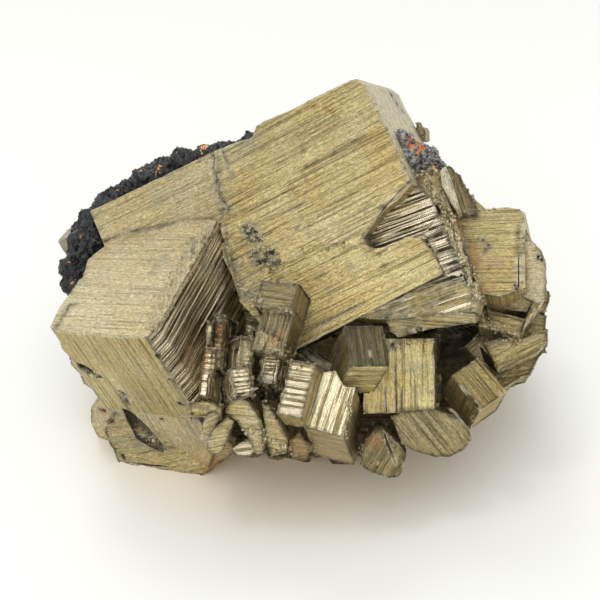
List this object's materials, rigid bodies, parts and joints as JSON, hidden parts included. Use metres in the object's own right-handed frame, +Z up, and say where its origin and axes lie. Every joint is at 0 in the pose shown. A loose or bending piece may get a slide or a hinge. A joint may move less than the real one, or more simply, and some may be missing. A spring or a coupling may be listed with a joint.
{
  "type": "pyrite cluster",
  "caption": "Hand specimen of striated pyrite cubes grown through one another, with a crust of dark host rock on its upper left and back.",
  "frame": {"origin": "middle of the bounding box at the surface the specimen rests on", "axes": "+Z up from the broken base, -Y toward the side with the great cube's face, +X to the right as seen from there"},
  "size_m": [0.0763, 0.0637, 0.0563],
  "materials": {
    "pyrite": "metallic khaki brass, finely striated, tarnished grey-blue and rusty in places",
    "host_rock": "black, lumpy, half shiny, with copper-orange specks",
    "pocket_rock": "dark and sparkling, with orange specks"
  },
  "bodies": {
    "root": {"pyrite_cluster": "pyrite", "dark_matrix": "host_rock", "pocket_matrix": "pocket_rock"}
  },
  "joints": []
}
